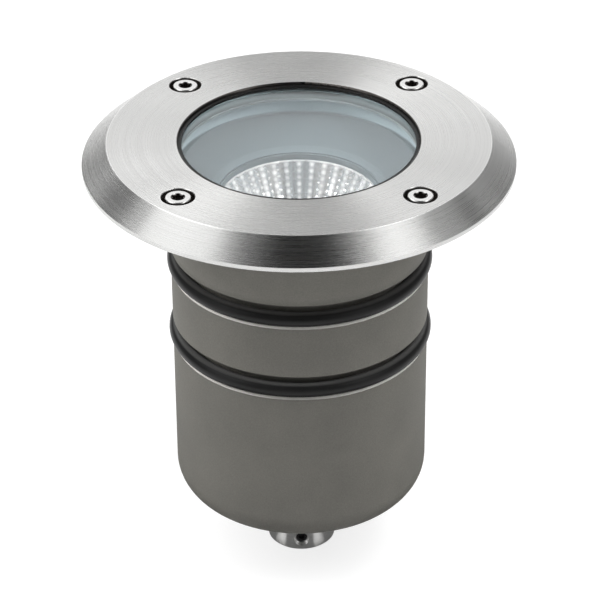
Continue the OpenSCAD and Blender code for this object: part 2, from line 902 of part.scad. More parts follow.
// Rectangle with round corners, centred
module round_rectangle(x, y, r) {
    union() {
        translate([-x / 2 + r, -y / 2])
            square([x - 2 * r, y]);
        translate([-x / 2, -y / 2 + r])
            square([x, y - 2 * r]);
        for (sx = [-1, 1], sy = [-1, 1])
            translate([sx * (x / 2 - r), sy * (y / 2 - r)])
                circle(r = r);
    }
}

// Sealed driver case with a stepped lid and holes for its leads
module driver_case() {
    color(driver_grey)
        difference() {
            union() {
                translate([0, 0, driver_low_z])
                    linear_extrude(driver_z - driver_lid_h)
                        round_rectangle(driver_x, driver_y, driver_edge_r);
                translate([0, 0, driver_low_z])
                    linear_extrude(driver_z)
                        round_rectangle(
                            driver_x - 2 * driver_step,
                            driver_y - 2 * driver_step,
                            driver_edge_r
                        );
            }
            for (side = [-1, 1], z = [out_lead_low_z, in_lead_top_z])
                translate([side * lead_gap_x / 2, lead_face_y - lead_stub, z])
                    rotate([-90, 0, 0])
                        cylinder(r = lead_r + fit_gap, h = lead_stub + over);
        }
}

// Bent steel strap that hangs the driver under the heat sink
module driver_bracket() {
    foot_z = sink_low_z - bracket_t;
    color(plain_aluminium)
        difference() {
            union() {
                translate([-bracket_out_x, -bracket_w / 2, bracket_low_z])
                    cube([2 * bracket_out_x, bracket_w, bracket_t]);
                for (side = [0, 1])
                    mirror([side, 0, 0]) {
                        translate([bracket_in_x, -bracket_w / 2, bracket_low_z])
                            cube([bracket_t, bracket_w, sink_low_z - bracket_low_z]);
                        translate([bracket_in_x, -bracket_foot_w / 2, foot_z])
                            cube([bracket_foot_l + bracket_t, bracket_foot_w, bracket_t]);
                    }
            }
            around(2)
                translate([bracket_screw_x, 0, foot_z - over])
                    cylinder(r = small_screw_r + hole_gap, h = bracket_t + 2 * over);
        }
}

module bracket_screws() {
    color(bright_steel)
        around(2)
            translate([bracket_screw_x, 0, sink_low_z - bracket_t])
                mirror([0, 0, 1])
                    small_screw(bracket_screw_l - fit_gap);
}

// Terminal block under the bracket, with wire holes below and behind
module terminal_block() {
    screw_hole_l = terminal_screw_l + terminal_hole_d / 2;
    color(white_plastic)
        difference() {
            translate([-terminal_x / 2, -terminal_y / 2, terminal_low_z])
                cube([terminal_x, terminal_y, terminal_z]);
            for (i = [0 : terminal_count - 1])
                translate([terminal_cell_x(i), 0, 0]) {
                    translate([0, 0, terminal_low_z - over])
                        cylinder(r = terminal_hole_d / 2, h = terminal_z / 2 + over);
                    translate([0, -terminal_y / 2 - over, terminal_mid_z])
                        rotate([-90, 0, 0])
                            cylinder(r = terminal_screw_d / 2 + fit_gap, h = screw_hole_l + over);
                }
            for (side = [-1, 1])
                translate([side * lead_gap_x / 2, terminal_y / 2 - lead_stub, in_lead_low_z])
                    rotate([-90, 0, 0])
                        cylinder(r = lead_r + fit_gap, h = lead_stub + over);
        }
}

// Place of one terminal along the block
function terminal_cell_x(i) = (i - (terminal_count - 1) / 2) * terminal_pitch;

// Slotted clamping screws of the terminals
module terminal_screws() {
    slot_w = terminal_screw_d * slot_share;
    color(bright_steel)
        for (i = [0 : terminal_count - 1])
            translate([terminal_cell_x(i), terminal_screw_inset - terminal_y / 2, terminal_mid_z])
                rotate([-90, 0, 0])
                    difference() {
                        cylinder(r = terminal_screw_d / 2, h = terminal_screw_l);
                        translate([-terminal_screw_d / 2 - over, -slot_w / 2, -over])
                            cube([terminal_screw_d + 2 * over, slot_w, slot_w + over]);
                    }
}

// One lead in a plane across the axis: out of a face, along the axis, back into another face
module lead(x, start_y, start_z, end_y, end_z) {
    up = sign(end_z - start_z);
    bend_y = lead_run_y - lead_bend_r;
    straight_h = abs(end_z - start_z) - 2 * lead_bend_r;
    low_z = min(start_z, end_z) + lead_bend_r;
    translate([x, start_y, start_z])
        rotate([-90, 0, 0])
            cylinder(r = lead_r, h = bend_y - start_y);
    translate([x, end_y, end_z])
        rotate([-90, 0, 0])
            cylinder(r = lead_r, h = bend_y - end_y);
    translate([x, lead_run_y, low_z])
        cylinder(r = lead_r, h = straight_h);
    lead_corner(x, bend_y, start_z + up * lead_bend_r, -up);
    lead_corner(x, bend_y, end_z - up * lead_bend_r, up);
}

// Quarter bend of a lead; side is 1 above its centre and -1 below
module lead_corner(x, y, z, side) {
    translate([x, y, z])
        mirror([0, 0, side < 0 ? 1 : 0])
            rotate([0, -90, 0])
                rotate_extrude(angle = 90)
                    translate([lead_bend_r, 0])
                        circle(r = lead_r);
}

// Pair of leads from the driver up to the holder
module output_leads() {
    holder_y = holder_r - lead_stub + fit_gap;
    color(lead_red)
        for (side = [-1, 1])
            lead(
                side * lead_gap_x / 2,
                lead_face_y - lead_stub + fit_gap, out_lead_low_z,
                holder_y, out_lead_top_z
            );
}

// Pair of leads from the driver down to the terminals
module input_leads() {
    block_y = terminal_y / 2 - lead_stub + fit_gap;
    color(lead_brown)
        for (side = [-1, 1])
            lead(
                side * lead_gap_x / 2,
                lead_face_y - lead_stub + fit_gap, in_lead_top_z,
                block_y, in_lead_low_z
            );
}

// Cable gland: collar below the housing and threaded shank through its floor
module gland_body() {
    bevel_cut_h = set_bevel_w + over;
    color(steel)
        difference() {
            turned()
                polygon([
                    [bush_pocket_r, gland_low_z],
                    [gland_r - gland_bevel, gland_low_z],
                    [gland_r, gland_low_z + gland_bevel],
                    [gland_r, collar_top_z - small_bevel],
                    [gland_r - small_bevel, collar_top_z],
                    [shank_r, collar_top_z],
                    [shank_r, shank_top_z - small_bevel],
                    [shank_r - small_bevel, shank_top_z],
                    [gland_hole_r, shank_top_z],
                    [gland_hole_r, bush_pocket_top_z],
                    [bush_pocket_r, bush_pocket_top_z]
                ]);
            translate([0, 0, set_hole_z])
                rotate([90, 0, 0]) {
                    cylinder(r = set_hole_r, h = gland_r + over);
                    translate([0, 0, gland_r - set_bevel_w])
                        cylinder(r1 = set_hole_r, r2 = set_hole_r + bevel_cut_h, h = bevel_cut_h);
                }
        }
}

// Flat seal between the gland's collar and the housing
module gland_seal() {
    color(rubber_black)
        tube(gland_r - small_bevel, shank_r + fit_gap, collar_top_z, spot_z);
}

// Rubber bush that the cable passes through
module gland_bush() {
    color(rubber_black)
        tube(bush_pocket_r - fit_gap, cable_d / 2, bush_low_z, bush_top_z);
}

// Steel washer between the bush and its pocket's end
module gland_washer() {
    color(bright_steel)
        tube(bush_pocket_r - fit_gap, gland_hole_r, bush_top_z, bush_pocket_top_z);
}

// Short side screw that bears on the bush, with a hexagon socket
module gland_set_screw() {
    hex_r = set_hole_r * set_socket_share;
    color(oxide_black)
        translate([0, -bush_pocket_r, set_hole_z])
            rotate([90, 0, 0])
                difference() {
                    cylinder(r = set_hole_r - thread_gap, h = set_l);
                    translate([0, 0, set_l * (1 - set_depth_share)])
                        cylinder(r = hex_r, h = set_l, $fn = 6);
                }
}

// Hexagon nut inside the housing
module gland_nut() {
    color(steel)
        difference() {
            translate([0, 0, nut_low_z])
                cylinder(r = nut_r, h = nut_h, $fn = 6);
            translate([0, 0, nut_low_z - over])
                cylinder(r = shank_r + thread_gap, h = nut_h + 2 * over);
        }
}

// Washer under the nut
module gland_nut_washer() {
    color(bright_steel)
        tube(shank_r + nut_washer_w, shank_r + fit_gap, floor_z, nut_low_z);
}

bezel_ring();
bezel_screws();
glass_lens();
glass_seal();
glass_seat();
housing_body();
upper_seal_ring();
lower_seal_ring();
baffle_dish();
reflector_ring();
reflector();
led_holder();
holder_screws();
led_board();
led_emitter();
thermal_pad();
heat_sink();
heat_sink_screws();
driver_case();
driver_bracket();
bracket_screws();
terminal_block();
terminal_screws();
output_leads();
input_leads();
gland_body();
gland_seal();
gland_bush();
gland_washer();
gland_set_screw();
gland_nut();
gland_nut_washer();
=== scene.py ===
import json
import math

import bmesh
import bpy
from mathutils import Matrix, Vector


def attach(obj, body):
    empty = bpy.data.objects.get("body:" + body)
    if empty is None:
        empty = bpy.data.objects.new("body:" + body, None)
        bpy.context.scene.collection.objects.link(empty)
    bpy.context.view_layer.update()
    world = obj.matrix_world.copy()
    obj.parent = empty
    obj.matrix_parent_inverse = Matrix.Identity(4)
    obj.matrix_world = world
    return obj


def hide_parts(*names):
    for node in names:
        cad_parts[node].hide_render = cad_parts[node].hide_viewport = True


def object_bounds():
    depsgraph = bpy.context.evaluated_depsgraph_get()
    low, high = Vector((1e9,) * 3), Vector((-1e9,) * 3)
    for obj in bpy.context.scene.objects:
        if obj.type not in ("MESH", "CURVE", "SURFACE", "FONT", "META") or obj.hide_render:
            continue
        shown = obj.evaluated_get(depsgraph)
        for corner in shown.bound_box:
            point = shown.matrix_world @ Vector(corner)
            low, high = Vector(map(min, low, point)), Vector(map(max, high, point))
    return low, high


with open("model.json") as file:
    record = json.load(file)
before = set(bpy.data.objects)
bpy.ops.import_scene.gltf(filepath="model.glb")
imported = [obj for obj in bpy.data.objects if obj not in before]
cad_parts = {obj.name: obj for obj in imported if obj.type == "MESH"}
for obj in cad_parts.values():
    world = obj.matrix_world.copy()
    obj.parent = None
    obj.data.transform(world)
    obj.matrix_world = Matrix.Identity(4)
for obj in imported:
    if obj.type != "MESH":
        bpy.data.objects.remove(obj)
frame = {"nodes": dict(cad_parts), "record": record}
nodes = frame["nodes"]
cad_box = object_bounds()

MM = 0.001
scene = bpy.context.scene


# Camera: fitted to the photo, looking along +Y and down
CAMERA_AT = Vector((0.0, -692.08, 381.33)) * MM
CAMERA_PITCH = math.radians(31.642)
CAMERA_ROLL = math.radians(-0.404)
CAMERA_LENS = 171.22
SENSOR_WIDTH = 36.0
CLIP_START = 0.01
CLIP_END = 50.0

camera_data = bpy.data.cameras.new("camera")
camera_data.lens = CAMERA_LENS
camera_data.sensor_width = SENSOR_WIDTH
camera_data.clip_start = CLIP_START
camera_data.clip_end = CLIP_END
camera = bpy.data.objects.new("camera", camera_data)
scene.collection.objects.link(camera)
turn = Matrix.Rotation(math.pi / 2 - CAMERA_PITCH, 4, "X") @ Matrix.Rotation(CAMERA_ROLL, 4, "Z")
camera.matrix_world = Matrix.Translation(CAMERA_AT) @ turn
scene.camera = camera
scene.view_settings.view_transform = "Standard"


# Node helpers

# Places of the colour inputs and the colour output in a Mix node
FIRST_COLOR = 6
SECOND_COLOR = 7
MIXED_COLOR = 2
# Values between which most of a noise lies
NOISE_LOW = 0.3
NOISE_HIGH = 0.7
# Smallest radius that a coordinate is divided by
NEAR_AXIS = 1e-5


class Nodes:
    """Short calls for building one material or world by nodes."""

    def __init__(self, tree, keep=False):
        self.tree = tree
        if not keep:
            tree.nodes.clear()

    @classmethod
    def new(cls, data):
        """Helper for a new material or world, with its nodes cleared."""
        data.use_nodes = True
        return cls(data.node_tree)

    @classmethod
    def of(cls, made):
        """Helper for a material that has its nodes already."""
        return cls(made.node_tree, keep=True)

    def find(self, kind):
        return next(node for node in self.tree.nodes if node.type == kind)

    def add(self, kind, **settings):
        node = self.tree.nodes.new(kind)
        for name, value in settings.items():
            setattr(node, name, value)
        return node

    def link(self, source, target):
        self.tree.links.new(source, target)

    def put(self, target, value):
        """Feeds a socket with a link or a plain value."""
        if isinstance(value, bpy.types.NodeSocket):
            self.link(value, target)
        else:
            target.default_value = value

    def fill(self, node, *values):
        """Feeds a node's first sockets in their order."""
        for slot, value in zip(node.inputs, values):
            self.put(slot, value)
        return node.outputs[0]

    def math(self, operation, *values):
        return self.fill(self.add("ShaderNodeMath", operation=operation), *values)

    def times(self, vector, factor):
        node = self.add("ShaderNodeVectorMath", operation="SCALE")
        self.put(node.inputs[0], vector)
        self.put(node.inputs["Scale"], factor)
        return node.outputs["Vector"]

    def noise(self, vector, scale, detail, roughness=0.5):
        node = self.add("ShaderNodeTexNoise")
        self.put(node.inputs["Vector"], vector)
        node.inputs["Scale"].default_value = scale
        node.inputs["Detail"].default_value = detail
        node.inputs["Roughness"].default_value = roughness
        return node.outputs["Fac"]

    def span(self, value, low, high, to_low=0.0, to_high=1.0):
        node = self.add("ShaderNodeMapRange")
        self.put(node.inputs["Value"], value)
        node.inputs["From Min"].default_value = low
        node.inputs["From Max"].default_value = high
        node.inputs["To Min"].default_value = to_low
        node.inputs["To Max"].default_value = to_high
        return node.outputs["Result"]

    def noise_span(self, value, to_low=0.0, to_high=1.0):
        return self.span(value, NOISE_LOW, NOISE_HIGH, to_low, to_high)

    def blend(self, factor, first, second):
        """Mixes two colours."""
        node = self.add("ShaderNodeMix", data_type="RGBA")
        self.put(node.inputs["Factor"], factor)
        self.put(node.inputs[FIRST_COLOR], first)
        self.put(node.inputs[SECOND_COLOR], second)
        return node.outputs[MIXED_COLOR]

    def mix(self, factor, first, second):
        """Mixes two shaders."""
        return self.fill(self.add("ShaderNodeMixShader"), factor, first, second)

    def bump(self, height, distance):
        node = self.add("ShaderNodeBump")
        self.put(node.inputs["Height"], height)
        node.inputs["Distance"].default_value = distance
        return node.outputs["Normal"]

    def place(self):
        return self.add("ShaderNodeTexCoord").outputs["Object"]

    def axes(self):
        """The three object coordinates, each on its own."""
        point = self.add("ShaderNodeSeparateXYZ")
        self.link(self.place(), point.inputs[0])
        return point.outputs

    def diffuse(self, level):
        return self.fill(self.add("ShaderNodeBsdfDiffuse"), grey(level))

    def emission(self, level, strength):
        return self.fill(self.add("ShaderNodeEmission"), grey(level), strength)

    def background(self, level, strength):
        return self.fill(self.add("ShaderNodeBackground"), grey(level), strength)

    def show(self, kind, shader):
        """Adds the output node of a material or world and feeds it."""
        output = self.add(kind)
        self.link(shader, output.inputs["Surface"])


def rgba(color):
    return (*color, 1.0)


def grey(level):
    return rgba((level, level, level))


def scaled(color, factor):
    return rgba(tuple(part * factor for part in color))


def material(name, color, metallic, roughness, **sockets):
    """New Principled material. Returns the material, its node helper and the Principled node."""
    made = bpy.data.materials.new(name)
    tree = Nodes.new(made)
    shader = tree.add("ShaderNodeBsdfPrincipled")
    shader.inputs["Base Color"].default_value = rgba(color)
    shader.inputs["Metallic"].default_value = metallic
    shader.inputs["Roughness"].default_value = roughness
    for socket, value in sockets.items():
        shader.inputs[socket.replace("_", " ")].default_value = value
    tree.show("ShaderNodeOutputMaterial", shader.outputs[0])
    made.diffuse_color = rgba(color)
    return made, tree, shader


def painted(made):
    """Node helper of a finished material, its Principled node and the colour that feeds it."""
    tree = Nodes.of(made)
    shader = tree.find("BSDF_PRINCIPLED")
    return tree, shader, shader.inputs["Base Color"].links[0].from_socket


# Distances over a surface
SCREW_CIRCLE_R = 45.6 * MM
# How far in front of the axis the dark edge of the opening has its centre
EDGE_FORWARD = 0.7 * MM


def flat_distance(tree, x, y):
    return tree.math("SQRT", tree.math("ADD", tree.math("MULTIPLY", x, x), tree.math("MULTIPLY", y, y)))


def axis_distance(tree):
    return flat_distance(tree, *tree.axes()[:2])


def screw_distance(tree):
    """Distance from the axis of the nearest cover screw: the four are mirrored onto one."""
    x, y, _ = tree.axes()
    side = SCREW_CIRCLE_R / math.sqrt(2)
    return flat_distance(
        tree,
        tree.math("SUBTRACT", tree.math("ABSOLUTE", x), side),
        tree.math("SUBTRACT", tree.math("ABSOLUTE", y), side),
    )


def edge_distance(tree):
    """Distance from a point just in front of the axis: the opening's edge is darkest in front."""
    x, y, _ = tree.axes()
    return flat_distance(tree, x, tree.math("ADD", y, EDGE_FORWARD))


def turned_coordinates(tree, along, across):
    """Coordinates that run slowly round the axis and fast across it, for lines left by turning."""
    x, y, z = tree.axes()
    radius = flat_distance(tree, x, y)
    safe = tree.math("MAXIMUM", radius, NEAR_AXIS)
    joined = tree.add("ShaderNodeCombineXYZ")
    tree.put(joined.inputs[0], tree.math("MULTIPLY", tree.math("DIVIDE", x, safe), along))
    tree.put(joined.inputs[1], tree.math("MULTIPLY", tree.math("DIVIDE", y, safe), along))
    slope = tree.math("SUBTRACT", radius, z)
    tree.put(joined.inputs[2], tree.math("MULTIPLY", slope, across))
    return joined.outputs[0]


# Masks: each call returns a function whose nodes give 1 where the mask holds
SOFT = 0.05 * MM


def below(level, soft=SOFT):
    return lambda tree: tree.span(tree.axes()[2], level - soft, level + soft, 1.0, 0.0)


def above(level, soft=SOFT):
    return lambda tree: tree.span(tree.axes()[2], level - soft, level + soft)


def inside(radius, distance=axis_distance):
    return lambda tree: tree.span(distance(tree), radius - SOFT, radius + SOFT, 1.0, 0.0)


def outside(radius, distance=axis_distance):
    return lambda tree: tree.math("SUBTRACT", 1.0, inside(radius, distance)(tree))


# Changes to the colour of a finished material
def repaint(made, masks, color):
    """Blends a surface's colour into another one where every mask is 1."""
    tree, shader, shade = painted(made)
    where = masks[0](tree)
    for mask in masks[1:]:
        where = tree.math("MULTIPLY", where, mask(tree))
    tree.link(tree.blend(where, shade, rgba(color)), shader.inputs["Base Color"])


def tone_above(made, height, reach, factor):
    """Makes a surface's colour lighter above a level, as painted light."""
    tree, shader, shade = painted(made)
    amount = tree.span(tree.axes()[2], height - reach, height + reach, 1.0, factor)
    tree.link(tree.times(shade, amount), shader.inputs["Base Color"])


def tone_by_radius(made, steps):
    """Makes a surface's colour lighter or darker by its distance from the axis."""
    tree, shader, shade = painted(made)
    radius = axis_distance(tree)
    amount = steps[0][1]
    for (start, low), (end, high) in zip(steps, steps[1:]):
        amount = tree.math("ADD", amount, tree.span(radius, start, end, 0.0, high - low))
    tree.link(tree.times(shade, amount), shader.inputs["Base Color"])


# Kinds of surface

# The reflections are smeared across the turned lines by a quarter turn of the tangent
QUARTER_TURN = 0.25
# Scales of the noise along the turned lines, of its broad part and of the clouds over them
LINE_LENGTH_SCALE = 1.1
BROAD_SCALE = 0.36
CLOUD_SCALE = 28.0
# Grains to one cloud of a coated surface
GRAINS_PER_CLOUD = 45.0
# Share that the fine noise has in the tone
METAL_FINE_SHARE = 0.6
COAT_FINE_SHARE = 0.5
# How much lines and clouds change the roughness
LINE_ROUGHER = 0.04
METAL_CLOUD_SMOOTHER = 0.02
METAL_CLOUD_ROUGHER = 0.03
COAT_CLOUD_ROUGHER = 0.05
# Glass, and the faint smears that roughen it where their noise lies between two values
GLASS_IOR = 1.5
SMEAR_SCALE = 60.0
SMEAR_LOW = 0.35
SMEAR_HIGH = 0.75
SMEAR_ROUGHNESS = 0.035


def tone_of(tree, fine, broad, fine_share):
    """Sum of a fine and a broad noise by their shares."""
    fine_part = tree.math("MULTIPLY", fine, fine_share)
    broad_part = tree.math("MULTIPLY", broad, 1 - fine_share)
    return tree.math("ADD", fine_part, broad_part)


def brushed_metal(name, color, roughness, lines, depth, anisotropy, contrast=0.1):
    """Metal with fine concentric lines in its colour, roughness and height."""
    made, tree, shader = material(
        name, color, metallic=1.0, roughness=roughness,
        Anisotropic=anisotropy, Anisotropic_Rotation=QUARTER_TURN)
    tangent = tree.add("ShaderNodeTangent", direction_type="RADIAL", axis="Z")
    tree.link(tangent.outputs[0], shader.inputs["Tangent"])
    where = turned_coordinates(tree, LINE_LENGTH_SCALE, lines)
    fine = tree.noise(where, scale=1.0, detail=2.0, roughness=0.6)
    broad = tree.noise(where, scale=BROAD_SCALE, detail=2.0)
    cloud = tree.noise(tree.place(), scale=CLOUD_SCALE, detail=3.0)
    tone = tone_of(tree, fine, broad, METAL_FINE_SHARE)
    dark, light = scaled(color, 1 - contrast), scaled(color, 1 + contrast / 2)
    tree.link(tree.blend(tree.noise_span(tone), dark, light), shader.inputs["Base Color"])
    by_line = tree.noise_span(tone, -LINE_ROUGHER, LINE_ROUGHER)
    by_cloud = tree.noise_span(
        cloud, roughness - METAL_CLOUD_SMOOTHER, roughness + METAL_CLOUD_ROUGHER)
    tree.link(tree.math("ADD", by_line, by_cloud), shader.inputs["Roughness"])
    tree.link(tree.bump(fine, depth), shader.inputs["Normal"])
    return made


def coated(name, color, roughness, grain, depth, spread, **sockets):
    """Matt or satin surface with a fine grain and a slow change of tone."""
    made, tree, shader = material(name, color, metallic=0.0, roughness=roughness, **sockets)
    place = tree.place()
    fine = tree.noise(place, scale=grain, detail=3.0, roughness=0.55)
    cloud = tree.noise(place, scale=grain / GRAINS_PER_CLOUD, detail=3.0)
    tone = tone_of(tree, fine, cloud, COAT_FINE_SHARE)
    dark, light = scaled(color, 1 - spread), scaled(color, 1 + spread)
    tree.link(tree.blend(tree.noise_span(tone), dark, light), shader.inputs["Base Color"])
    by_cloud = tree.noise_span(
        cloud, roughness - COAT_CLOUD_ROUGHER, roughness + COAT_CLOUD_ROUGHER)
    tree.link(by_cloud, shader.inputs["Roughness"])
    tree.link(tree.bump(fine, depth), shader.inputs["Normal"])
    return made


def clear_glass(name, tint):
    """Glass that lets lamps reach what is behind it."""
    made, tree, shader = material(
        name, tint, metallic=0.0, roughness=0.0, IOR=GLASS_IOR, Transmission_Weight=1.0)
    smear = tree.noise(tree.place(), scale=SMEAR_SCALE, detail=3.0)
    rough = tree.span(smear, SMEAR_LOW, SMEAR_HIGH, 0.0, SMEAR_ROUGHNESS)
    tree.link(rough, shader.inputs["Roughness"])
    rays = tree.add("ShaderNodeLightPath")
    through = tree.fill(tree.add("ShaderNodeBsdfTransparent"), rgba(tint))
    mixed = tree.mix(rays.outputs["Is Shadow Ray"], shader.outputs[0], through)
    tree.link(mixed, tree.find("OUTPUT_MATERIAL").inputs["Surface"])
    return made


# Reflector: sizes shared by its facets and its colours
COLUMNS = 36
ROWS = 12
MIRROR_TOP = -16.6 * MM
MIRROR_H = 19.8 * MM

# Each facet has a painted highlight, a bright spot. Across and along the facet, the spot is whole up
# to the first share of the facet from its middle, and faded at the second.
SPOT_HIGHLIGHT = (0.98, 0.97, 0.96)
SPOT_ACROSS = (0.04, 0.30)
SPOT_ALONG = (0.08, 0.4)
# What is left of a spot at the ends of its facet, and in the dullest facet
SPOT_AT_ENDS = 0.4
SPOT_DULLEST = 0.45
# Painted highlight along the reflector's top edge
RIM_LOW = MIRROR_TOP - 0.3 * MM
RIM_HIGH = MIRROR_TOP - 0.1 * MM
RIM_BRIGHT = 0.6
# Colour between the spots, near the middle of the reflector and towards its sides; the darker, bluer
# middle is a painted reflection
JOINT_AND_REFLECTION_MIDDLE = (0.62, 0.655, 0.675)
JOINT_SIDE = (0.82, 0.81, 0.805)
MIDDLE_OUT = 2.5 * MM
SIDE_IN = 6.5 * MM
# Metallic of the joints and of the painted highlights
JOINT_METALLIC = 0.8
SPOT_METALLIC = 0.3


def from_middle(tree, count):
    """Distance of a place from the middle of its cell, as a share of the cell's width."""
    return tree.math("ABSOLUTE", tree.math("SUBTRACT", tree.math("FRACT", count), 0.5))


def facet_tone(made):
    """Painted highlights in the facets' middles and darker joints, each facet a little different."""
    tree, shader, _ = painted(made)
    x, y, z = tree.axes()
    turns = tree.math("MULTIPLY", tree.math("ARCTAN2", y, x), COLUMNS / (2 * math.pi))
    # The half puts each facet's middle in the middle of its cell, and the rest keeps counts positive
    column = tree.math("ADD", turns, COLUMNS + 0.5)
    height = tree.math("SUBTRACT", z, MIRROR_TOP - MIRROR_H)
    row = tree.math("MULTIPLY", height, ROWS / MIRROR_H)
    across = tree.span(from_middle(tree, column), *SPOT_ACROSS, 1.0, 0.0)
    along = tree.span(from_middle(tree, row), *SPOT_ALONG, 1.0, SPOT_AT_ENDS)
    spot = tree.math("MULTIPLY", across, along)
    cell = tree.add("ShaderNodeCombineXYZ")
    tree.link(tree.math("FLOOR", column), cell.inputs[0])
    tree.link(tree.math("FLOOR", row), cell.inputs[1])
    chance = tree.add("ShaderNodeTexWhiteNoise")
    tree.link(cell.outputs[0], chance.inputs["Vector"])
    strength = tree.span(chance.outputs["Value"], 0.0, 1.0, SPOT_DULLEST, 1.0)
    spot = tree.math("MULTIPLY", spot, strength)
    rim = tree.span(z, RIM_LOW, RIM_HIGH, 0.0, RIM_BRIGHT)
    bright = tree.math("MAXIMUM", spot, rim)
    # Painted reflection: the joints are darker and bluer near the middle
    aside = tree.span(tree.math("ABSOLUTE", x), MIDDLE_OUT, SIDE_IN)
    joint = tree.blend(aside, rgba(JOINT_AND_REFLECTION_MIDDLE), rgba(JOINT_SIDE))
    tree.link(tree.blend(bright, joint, rgba(SPOT_HIGHLIGHT)), shader.inputs["Base Color"])
    metallic = tree.span(bright, 0.0, 1.0, JOINT_METALLIC, SPOT_METALLIC)
    tree.link(metallic, shader.inputs["Metallic"])


# Materials by slot. After the name and colour, a brushed metal has its roughness, lines to a metre,
# depth of the lines, anisotropy and contrast, and a coated surface has its roughness, grains to a
# metre, depth of the grain and spread of tone.
GRAIN = 2600.0
SMOOTH = 0.01 * MM
RING_DEPTH = 0.03 * MM
PAINT_DEPTH = 0.04 * MM

looks = {
    "brushed_ring": brushed_metal(
        "brushed_ring", (0.74, 0.74, 0.73), 0.27, 5200.0, RING_DEPTH, 0.95, 0.115),
    "screw_steel": brushed_metal("screw_steel", (0.88, 0.88, 0.87), 0.2, 2600.0, SMOOTH, 0.3),
    "gland_metal": brushed_metal("gland_metal", (0.80, 0.795, 0.78), 0.34, 2600.0, SMOOTH, 0.9),
    "plain_aluminium": brushed_metal(
        "plain_aluminium", (0.62, 0.63, 0.64), 0.34, 2200.0, SMOOTH, 0.4),
    "clear_glass": clear_glass("clear_glass", (0.965, 0.975, 0.978)),
    "black_rubber": coated(
        "black_rubber", (0.009, 0.009, 0.009), 0.36, 3200.0, SMOOTH, 0.2, Specular_IOR_Level=0.22),
    "grey_silicone": coated("grey_silicone", (0.47, 0.54, 0.555), 0.5, 3200.0, SMOOTH, 0.06),
    "grey_paint": coated(
        "grey_paint", (0.158, 0.153, 0.136), 0.66, GRAIN, PAINT_DEPTH, 0.2, Specular_IOR_Level=0.35),
    "dish_grey": coated("dish_grey", (0.086, 0.110, 0.121), 0.7, 3000.0, SMOOTH, 0.03),
    "white_plastic": coated("white_plastic", (0.80, 0.80, 0.77), 0.4, GRAIN, SMOOTH, 0.03),
    "board_white": coated("board_white", (0.82, 0.82, 0.80), 0.3, GRAIN, SMOOTH, 0.02),
    "phosphor": coated("phosphor", (0.83, 0.60, 0.12), 0.35, GRAIN, SMOOTH, 0.05),
    "pad_grey": coated("pad_grey", (0.2, 0.2, 0.22), 0.7, GRAIN, SMOOTH, 0.05),
    "dark_plastic": coated("dark_plastic", (0.035, 0.038, 0.042), 0.45, GRAIN, SMOOTH, 0.1),
    "red_lead": coated("red_lead", (0.5, 0.03, 0.025), 0.4, GRAIN, SMOOTH, 0.05),
    "brown_lead": coated("brown_lead", (0.14, 0.07, 0.035), 0.4, GRAIN, SMOOTH, 0.05),
    "black_steel": coated("black_steel", (0.02, 0.02, 0.02), 0.35, GRAIN, SMOOTH, 0.1),
    "bright_mirror": brushed_metal(
        "bright_mirror", (0.86, 0.845, 0.84), 0.15, 900.0, 0.0, 0.0, 0.02),
}
facet_tone(looks["bright_mirror"])


# Cover ring: darker slope, painted highlights along its edges, painted shade in the pockets and the
# opening
BEZEL_TOP = 7.2 * MM
SLOPE_TONES = [(53.0 * MM, 1.0), (53.3 * MM, 0.92)]
SLOPE_EDGE = [outside(52.95 * MM), inside(53.25 * MM)]
POCKET_EDGES = [outside(4.5 * MM, screw_distance), inside(4.85 * MM, screw_distance)]
# Painted shade in the screw pockets and the opening: everything just under the flat top and inside the
# slope
RECESSES = [below(BEZEL_TOP - 0.16 * MM), inside(51.0 * MM)]
OPENING = [inside(33.7 * MM)]
OPENING_FRONT = [inside(33.6 * MM, edge_distance)]
# Colour of the painted highlights along the slope's edge and the pockets' edges
EDGE_HIGHLIGHT = (0.97, 0.97, 0.96)
RECESS_SHADE = (0.18, 0.165, 0.15)
OPENING_SHADE = (0.09, 0.084, 0.08)
OPENING_FRONT_SHADE = (0.03, 0.028, 0.026)

ring = looks["brushed_ring"]
tone_by_radius(ring, SLOPE_TONES)
repaint(ring, SLOPE_EDGE, EDGE_HIGHLIGHT)
repaint(ring, POCKET_EDGES, EDGE_HIGHLIGHT)
repaint(ring, RECESSES, RECESS_SHADE)
repaint(ring, OPENING, OPENING_SHADE)
repaint(ring, OPENING_FRONT, OPENING_FRONT_SHADE)

# Cover screws: shaded sockets
SOCKETS = [below(BEZEL_TOP - 0.12 * MM), inside(2.1 * MM, screw_distance)]
SOCKET_SHADE = (0.20, 0.19, 0.18)
repaint(looks["screw_steel"], SOCKETS, SOCKET_SHADE)

# Housing: painted highlights on the lips under the grooves, painted shade on the edges over them, and
# painted light above two levels
LIP_TOPS = (-31.8 * MM, -54.7 * MM)
LIP_HEIGHT = 0.6 * MM
LIP_FROM_R = 35.6 * MM
# Colour of the painted highlight on each lip
LIP_HIGHLIGHT = (0.90, 0.88, 0.83)
GROOVE_TOPS = (-25.6 * MM, -48.5 * MM)
# How far the painted shade reaches over and below its groove's top, and the radius where it starts
EDGE_OVER = 0.75 * MM
EDGE_BELOW = 0.2 * MM
EDGE_FROM_R = 34.0 * MM
GROOVE_SHADE = (0.05, 0.048, 0.044)
# Painted light: each step's level, half its height and the tone above it
PAINTED_LIGHT_STEPS = [(-24.0 * MM, 1.0 * MM, 1.28), (-51.0 * MM, 3.0 * MM, 1.1)]

paint = looks["grey_paint"]
for top in LIP_TOPS:
    lip = [below(top + SOFT), above(top - LIP_HEIGHT), outside(LIP_FROM_R)]
    repaint(paint, lip, LIP_HIGHLIGHT)
for top in GROOVE_TOPS:
    edge = [below(top + EDGE_OVER), above(top - EDGE_BELOW), outside(EDGE_FROM_R)]
    repaint(paint, edge, GROOVE_SHADE)
for step in PAINTED_LIGHT_STEPS:
    tone_above(paint, *step)
